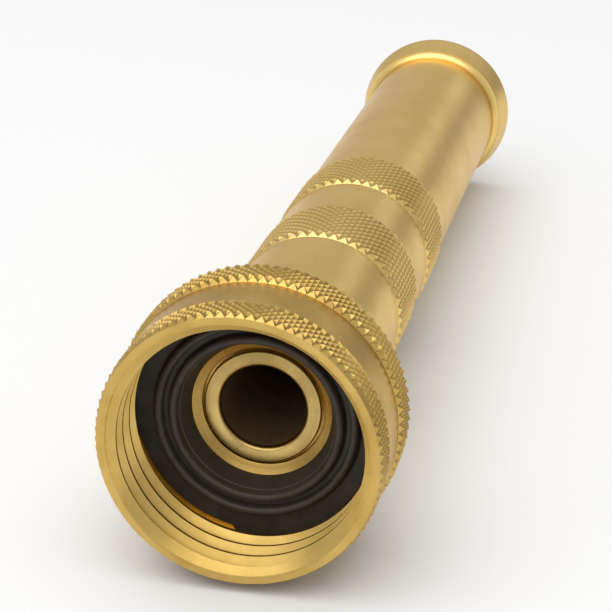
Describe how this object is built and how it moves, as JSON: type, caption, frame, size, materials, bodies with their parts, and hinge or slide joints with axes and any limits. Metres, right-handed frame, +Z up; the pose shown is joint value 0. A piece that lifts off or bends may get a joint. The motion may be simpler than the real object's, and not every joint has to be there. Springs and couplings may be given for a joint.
{
  "type": "hose spray nozzle",
  "caption": "Brass twist hose nozzle: knurled coupling with internal hose thread and washer, and a long barrel with grip rings that screws along a stem to set the spray.",
  "frame": {"origin": "on the nozzle's axis, at the plane of the coupling's mouth", "axes": "+Y along the axis from the hose end to the jet, +Z up as the nozzle lies on a table"},
  "size_m": [0.0298, 0.1271, 0.0298],
  "materials": {
    "coupling_brass": "satin turned, knurled bands",
    "barrel_brass": "satin turned, knurled rings",
    "stem_brass": "turned, bright edges",
    "black_rubber": "matte moulded"
  },
  "bodies": {
    "root": {"coupling": "coupling_brass", "hose_washer": "black_rubber", "stem": "stem_brass", "nose_ring": "black_rubber"},
    "barrel_carrier": {"tail_ring": "black_rubber"},
    "barrel": {"barrel": "barrel_brass"}
  },
  "joints": [
    {"name": "barrel_travel", "type": "slide", "parent": "root", "child": "barrel_carrier", "axis": [0, 1, 0], "range_m": [0, 0.0045]},
    {"name": "barrel_turn", "type": "hinge", "parent": "barrel_carrier", "child": "barrel", "pos_m": [0, 0, 0], "axis": [0, 1, 0], "range_deg": [0, 1080]}
  ],
  "couplings": [
    {"joint": "barrel_turn", "follows": "barrel_travel", "rad_per_m": 4188.8}
  ]
}
